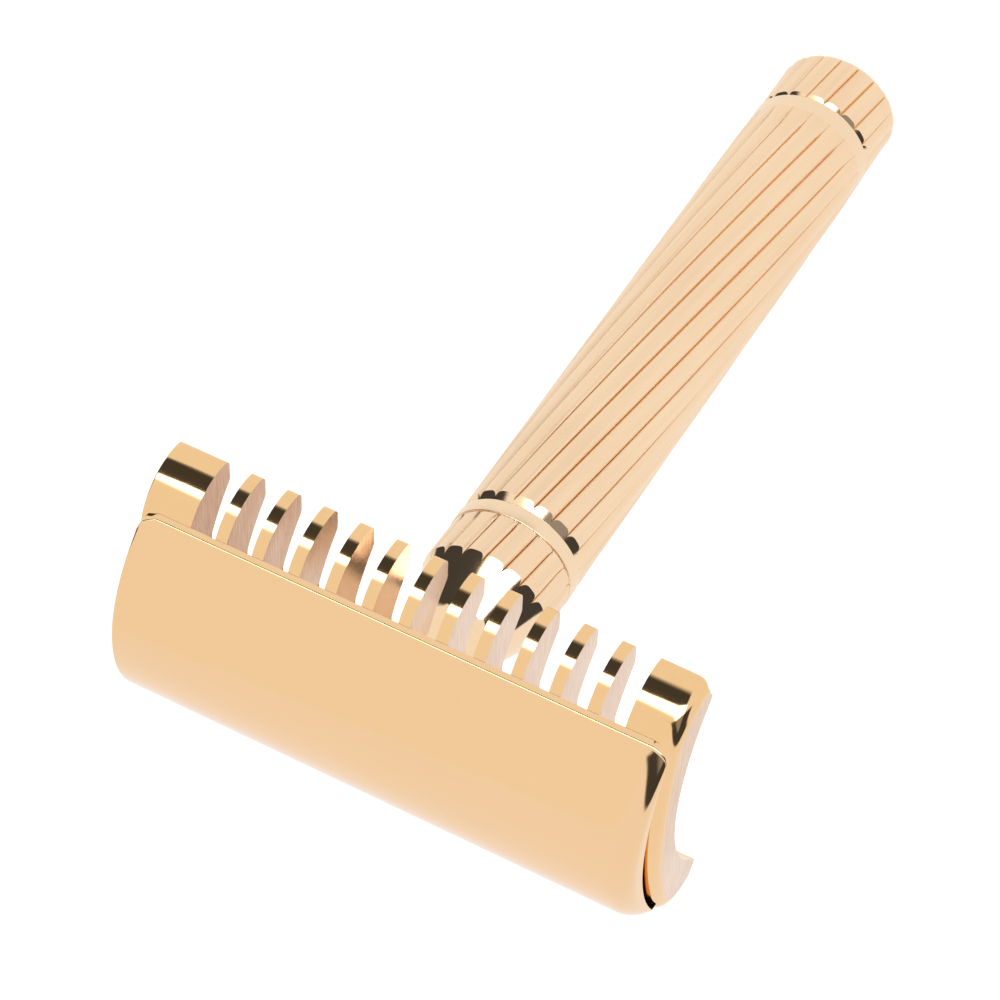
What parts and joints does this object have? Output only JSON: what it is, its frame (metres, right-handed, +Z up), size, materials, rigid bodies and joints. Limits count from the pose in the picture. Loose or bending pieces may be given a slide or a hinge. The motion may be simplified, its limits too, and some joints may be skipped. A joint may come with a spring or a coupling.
{
  "type": "double-edge safety razor",
  "caption": "Three-piece open-comb safety razor: an arched cap and a comb plate clamp a flat double-edge blade when the fluted metal handle is screwed up.",
  "frame": {"origin": "centre of the flat foot of the handle, the face the razor stands on", "axes": "+Z up the handle from the foot to the head, X along the head's long side, +Y towards one comb"},
  "size_m": [0.0436, 0.0244, 0.0785],
  "materials": {
    "gold_fluted": "gold plated, milled flutes with fine tool marks",
    "gold_polished": "gold plated, bright polish",
    "gold_mirror": "gold plated, mirror polish",
    "gold_thread": "gold plated, machined"
  },
  "bodies": {
    "handle": {"handle": "gold_fluted"},
    "plate": {"base_plate": "gold_polished"},
    "cap": {"cap": "gold_mirror", "stud": "gold_thread", "locating_pins": "gold_thread"}
  },
  "joints": [
    {"name": "head_turn", "type": "hinge", "parent": "handle", "child": "plate", "pos_m": [0, 0, 0.0717], "axis": [0, 0, 1], "range_deg": [0, 2880]},
    {"name": "cap_lift", "type": "slide", "parent": "plate", "child": "cap", "axis": [0, 0, 1], "range_m": [0, 0.00634]}
  ],
  "couplings": [
    {"joint": "head_turn", "follows": "cap_lift", "rad_per_m": 7915.8}
  ]
}
